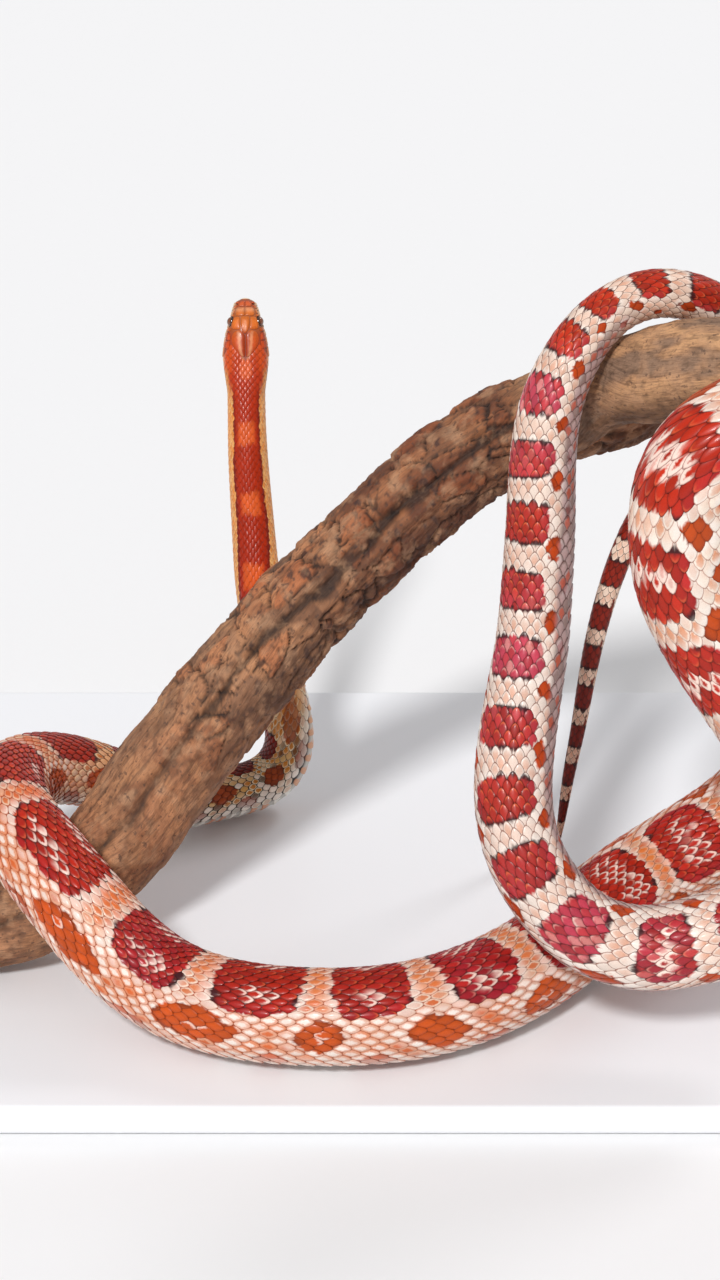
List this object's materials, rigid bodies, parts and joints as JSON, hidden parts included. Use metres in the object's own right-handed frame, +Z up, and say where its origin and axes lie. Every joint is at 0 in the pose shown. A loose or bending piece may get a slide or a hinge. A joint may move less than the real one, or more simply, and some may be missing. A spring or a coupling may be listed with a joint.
{
  "type": "corn snake model on a branch",
  "caption": "Life-size still model of a red and cream corn snake that winds over a cut length of bare branch, held by a flat base and two short rods.",
  "frame": {"origin": "centre of the underside of the stand's base", "axes": "+Z up, +X to the right as seen from the front, +Y away from the viewer"},
  "size_m": [0.3527, 0.26, 0.2472],
  "materials": {
    "head_skin": "glossy orange-red head shields with pale pink marks",
    "body_skin": "glossy overlapping scales, brick-red saddles on cream and orange",
    "eye": "very glossy dark eye with a round pupil",
    "bark": "dry cracked brown bark",
    "stand_plate": "plain pale satin plate",
    "stand_rod": "plain satin steel rod"
  },
  "bodies": {
    "root": {"head": "head_skin", "eye_left": "eye", "eye_right": "eye", "neck": "body_skin", "body_back_bend": "body_skin", "body_back": "body_skin", "body_left_turn": "body_skin", "body_over_branch": "body_skin", "body_front": "body_skin", "body_crossing": "body_skin", "body_rear": "body_skin", "body_rise_lower": "body_skin", "body_rise_upper": "body_skin", "body_over_limb": "body_skin", "body_hanging_bend": "body_skin", "body_hanging_upper": "body_skin", "body_hanging_lower": "body_skin", "body_low_turn": "body_skin", "body_bottom_loop": "body_skin", "body_climb_turn": "body_skin", "body_climb": "body_skin", "body_arch": "body_skin", "body_vent": "body_skin", "tail_upper": "body_skin", "tail_middle": "body_skin", "tail_tip": "body_skin", "branch_lower": "bark", "branch_middle": "bark", "branch_fork": "bark", "branch_limb": "bark", "branch_stub": "bark", "stand_base": "stand_plate", "stand_rod_left": "stand_rod", "stand_rod_right": "stand_rod"}
  },
  "joints": []
}
